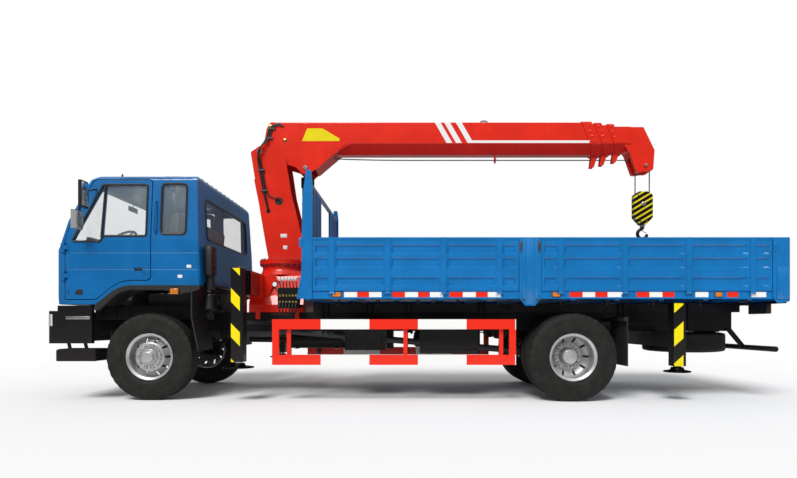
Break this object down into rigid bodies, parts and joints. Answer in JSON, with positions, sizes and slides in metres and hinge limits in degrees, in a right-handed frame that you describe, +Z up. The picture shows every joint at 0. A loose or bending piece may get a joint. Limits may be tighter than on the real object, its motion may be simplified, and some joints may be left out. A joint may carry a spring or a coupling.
{
  "type": "truck-mounted loader crane",
  "caption": "Two-axle cab-over truck with a dropside bed and a column-mounted telescopic loader crane behind the tilting cab.",
  "frame": {"origin": "on the ground, under the middle of the overall length and width", "axes": "+X forward along the truck, +Y to its left, +Z up"},
  "size_m": [8.91, 2.7544, 3.779],
  "materials": {
    "chassis_black": "satin black",
    "cab_blue": "gloss blue",
    "bed_blue": "gloss blue",
    "crane_red": "gloss red",
    "guard_red_white": "red and white bands",
    "tyre": "rubber",
    "rim_silver": "silver",
    "glass": "clear",
    "black_plastic": "matt black",
    "lamp_glass": "clear and red lenses",
    "interior": "grey cloth and trim",
    "engine_grey": "cast",
    "flap_rubber": "rubber",
    "tank_black": "satin black",
    "chrome_rod": "polished",
    "hook_stripe": "black with yellow bands",
    "jack_black": "satin black with yellow bands"
  },
  "bodies": {
    "truck": {"chassis_frame": "chassis_black", "leaf_springs": "chassis_black", "axles": "chassis_black", "front_bumper": "chassis_black", "rear_underrun": "chassis_black", "rear_outrigger_box": "chassis_black", "crane_controls": "chassis_black", "engine_block": "engine_grey", "driveline": "engine_grey", "exhaust": "tank_black", "side_tanks": "tank_black", "lamps": "lamp_glass", "side_guards": "guard_red_white", "mud_flaps": "flap_rubber", "spare_wheel": "tyre", "bed_floor": "bed_blue", "bed_posts": "bed_blue", "headboard": "bed_blue", "crane_base": "crane_red"},
    "cab": {"cab_shell": "cab_blue", "cab_glass": "glass", "cab_grille": "black_plastic", "cab_fenders": "black_plastic", "cab_interior": "interior"},
    "left_door": {"door_left": "cab_blue", "door_glass_left": "glass", "mirror_left": "black_plastic"},
    "right_door": {"door_right": "cab_blue", "door_glass_right": "glass", "mirror_right": "black_plastic"},
    "left_knuckle": {"knuckle_left": "chassis_black"},
    "right_knuckle": {"knuckle_right": "chassis_black"},
    "front_left_wheel": {"tyre_front_left": "tyre", "rim_front_left": "rim_silver"},
    "front_right_wheel": {"tyre_front_right": "tyre", "rim_front_right": "rim_silver"},
    "rear_left_wheels": {"tyres_rear_left": "tyre", "rims_rear_left": "rim_silver"},
    "rear_right_wheels": {"tyres_rear_right": "tyre", "rims_rear_right": "rim_silver"},
    "front_left_gate": {"side_gate_front_left": "bed_blue"},
    "rear_left_gate": {"side_gate_rear_left": "bed_blue"},
    "front_right_gate": {"side_gate_front_right": "bed_blue"},
    "rear_right_gate": {"side_gate_rear_right": "bed_blue"},
    "tail_gate": {"tailgate": "bed_blue"},
    "left_beam": {"outrigger_beam_left": "jack_black"},
    "right_beam": {"outrigger_beam_right": "jack_black"},
    "front_left_leg": {"outrigger_leg_front_left": "chrome_rod"},
    "front_right_leg": {"outrigger_leg_front_right": "chrome_rod"},
    "rear_left_leg": {"outrigger_leg_rear_left": "chrome_rod"},
    "rear_right_leg": {"outrigger_leg_rear_right": "chrome_rod"},
    "column": {"crane_column": "crane_red"},
    "boom": {"main_boom": "crane_red", "winch": "jack_black"},
    "second_section": {"boom_section_2": "crane_red"},
    "third_section": {"boom_section_3": "crane_red"},
    "head_section": {"boom_head": "crane_red"},
    "hook": {"hook_block": "hook_stripe"},
    "cylinder_barrel": {"lift_barrel": "jack_black"},
    "cylinder_rod": {"lift_rod": "chrome_rod"}
  },
  "joints": [
    {"name": "left_steer", "type": "hinge", "parent": "truck", "child": "left_knuckle", "pos_m": [3.195, 0.85, 0.526], "axis": [0, 0, 1], "range_deg": [-35, 35]},
    {"name": "front_left_wheel_spin", "type": "hinge", "parent": "left_knuckle", "child": "front_left_wheel", "pos_m": [3.195, 0.97, 0.526], "axis": [0, 1, 0], "continuous": true},
    {"name": "rear_left_wheels_spin", "type": "hinge", "parent": "truck", "child": "rear_left_wheels", "pos_m": [-1.905, 1.09, 0.526], "axis": [0, 1, 0], "continuous": true},
    {"name": "left_door_swing", "type": "hinge", "parent": "cab", "child": "left_door", "pos_m": [4.205, 1.125, 1.505], "axis": [0, 0, 1], "range_deg": [-65, 0]},
    {"name": "front_left_gate_drop", "type": "hinge", "parent": "truck", "child": "front_left_gate", "pos_m": [-0.005, 1.24, 1.29], "axis": [1, 0, 0], "range_deg": [-175, 0]},
    {"name": "rear_left_gate_drop", "type": "hinge", "parent": "truck", "child": "rear_left_gate", "pos_m": [-2.805, 1.24, 1.29], "axis": [1, 0, 0], "range_deg": [-175, 0]},
    {"name": "left_beam_slide", "type": "slide", "parent": "truck", "child": "left_beam", "axis": [0, 1, 0], "range_m": [0, 0.8]},
    {"name": "front_left_leg_slide", "type": "slide", "parent": "left_beam", "child": "front_left_leg", "axis": [0, 0, -1], "range_m": [0, 0.38]},
    {"name": "rear_left_leg_slide", "type": "slide", "parent": "truck", "child": "rear_left_leg", "axis": [0, 0, -1], "range_m": [0, 0.33]},
    {"name": "right_steer", "type": "hinge", "parent": "truck", "child": "right_knuckle", "pos_m": [3.195, -0.85, 0.526], "axis": [0, 0, 1], "range_deg": [-35, 35]},
    {"name": "front_right_wheel_spin", "type": "hinge", "parent": "right_knuckle", "child": "front_right_wheel", "pos_m": [3.195, -0.97, 0.526], "axis": [0, 1, 0], "continuous": true},
    {"name": "rear_right_wheels_spin", "type": "hinge", "parent": "truck", "child": "rear_right_wheels", "pos_m": [-1.905, -1.09, 0.526], "axis": [0, 1, 0], "continuous": true},
    {"name": "right_door_swing", "type": "hinge", "parent": "cab", "child": "right_door", "pos_m": [4.205, -1.125, 1.505], "axis": [0, 0, -1], "range_deg": [-65, 0]},
    {"name": "front_right_gate_drop", "type": "hinge", "parent": "truck", "child": "front_right_gate", "pos_m": [-0.005, -1.24, 1.29], "axis": [-1, 0, 0], "range_deg": [-175, 0]},
    {"name": "rear_right_gate_drop", "type": "hinge", "parent": "truck", "child": "rear_right_gate", "pos_m": [-2.805, -1.24, 1.29], "axis": [-1, 0, 0], "range_deg": [-175, 0]},
    {"name": "right_beam_slide", "type": "slide", "parent": "truck", "child": "right_beam", "axis": [0, -1, 0], "range_m": [0, 0.8]},
    {"name": "front_right_leg_slide", "type": "slide", "parent": "right_beam", "child": "front_right_leg", "axis": [0, 0, -1], "range_m": [0, 0.38]},
    {"name": "rear_right_leg_slide", "type": "slide", "parent": "truck", "child": "rear_right_leg", "axis": [0, 0, -1], "range_m": [0, 0.33]},
    {"name": "cab_tilt", "type": "hinge", "parent": "truck", "child": "cab", "pos_m": [4.295, 0, 1.13], "axis": [0, 1, 0], "range_deg": [0, 50]},
    {"name": "tailgate_drop", "type": "hinge", "parent": "truck", "child": "tail_gate", "pos_m": [-4.445, 0, 1.29], "axis": [0, 1, 0], "range_deg": [-175, 0]},
    {"name": "slew", "type": "hinge", "parent": "truck", "child": "column", "pos_m": [1.805, 0, 1.77], "axis": [0, 0, 1], "continuous": true},
    {"name": "luff", "type": "hinge", "parent": "column", "child": "boom", "pos_m": [2.092, 0, 3.28], "axis": [0, 1, 0], "range_deg": [0, 75]},
    {"name": "lift_barrel_swing", "type": "hinge", "parent": "column", "child": "cylinder_barrel", "pos_m": [1.46, 0, 1.985], "axis": [0, 1, 0], "range_deg": [0, 7.51]},
    {"name": "lift_rod_slide", "type": "slide", "parent": "cylinder_barrel", "child": "cylinder_rod", "axis": [0.0148, 0, 0.9999], "range_m": [0, 0.7725]},
    {"name": "telescope", "type": "slide", "parent": "boom", "child": "second_section", "axis": [-1, 0, 0], "range_m": [0, 2.7]},
    {"name": "telescope_third", "type": "slide", "parent": "second_section", "child": "third_section", "axis": [-1, 0, 0], "range_m": [0, 2.7]},
    {"name": "telescope_head", "type": "slide", "parent": "third_section", "child": "head_section", "axis": [-1, 0, 0], "range_m": [0, 2.7]},
    {"name": "hook_hang", "type": "hinge", "parent": "head_section", "child": "hook", "pos_m": [-3.218, 0, 3.12], "axis": [0, 1, 0], "range_deg": [-75, 0]}
  ],
  "couplings": [
    {"joint": "right_steer", "follows": "left_steer", "ratio": 1},
    {"joint": "lift_barrel_swing", "follows": "luff", "ratio": 0.099411},
    {"joint": "lift_rod_slide", "follows": "luff", "m_per_rad": 0.58935},
    {"joint": "telescope_third", "follows": "telescope", "ratio": 1},
    {"joint": "telescope_head", "follows": "telescope", "ratio": 1},
    {"joint": "hook_hang", "follows": "luff", "ratio": -1}
  ]
}
